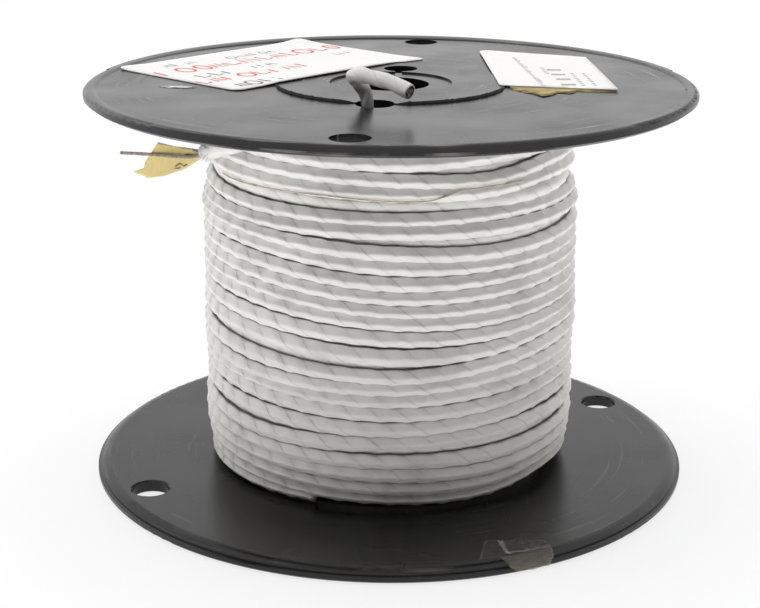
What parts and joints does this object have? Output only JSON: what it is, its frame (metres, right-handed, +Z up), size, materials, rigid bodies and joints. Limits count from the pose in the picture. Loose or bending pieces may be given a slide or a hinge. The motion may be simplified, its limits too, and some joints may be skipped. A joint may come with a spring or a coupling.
{
  "type": "wire spool",
  "caption": "Flanged plastic reel wound with white shielded cable; a cut end of the cable comes up through the top flange, and paper labels lie on it.",
  "frame": {"origin": "centre of the circle that the lower rim bead stands on", "axes": "+Z up along the reel's axis, from the flange it stands on to the flange with the labels; the picture looks along +Y from the front, with +X to its right"},
  "size_m": [0.165, 0.165, 0.1194],
  "materials": {
    "spool_plastic": "satin moulded black",
    "cable_jacket": "soft gloss white, wrapped tape under a thin skin",
    "shield_braid": "dull copper braid",
    "conductor_insulation": "satin pale grey-green",
    "conductor_copper": "cut copper strands",
    "drain_wire": "dull twisted wire",
    "masking_tape": "matt creped tan",
    "label_paper": "smooth white",
    "label_card": "torn, tan",
    "clear_film": "clear glossy film"
  },
  "bodies": {
    "root": {"lower_flange": "spool_plastic", "upper_flange": "spool_plastic", "lower_hub_cap": "spool_plastic", "upper_hub_cap": "spool_plastic", "barrel": "spool_plastic", "arbor_tube": "spool_plastic", "cable_inner_layers": "cable_jacket", "cable_outer_layer": "cable_jacket", "inner_tail_jacket": "cable_jacket", "inner_tail_braid": "shield_braid", "inner_tail_insulation": "conductor_insulation", "inner_tail_strands": "conductor_copper", "inner_tail_drain_wire": "drain_wire", "outer_tail_jacket": "cable_jacket", "outer_tail_braid": "shield_braid", "outer_tail_insulation": "conductor_insulation", "outer_tail_strands": "conductor_copper", "outer_tail_drain_wire": "drain_wire", "masking_tape_flag": "masking_tape", "handwritten_label": "label_paper", "printed_label": "label_paper", "torn_label_backing": "label_card", "clear_tape": "clear_film"}
  },
  "joints": []
}
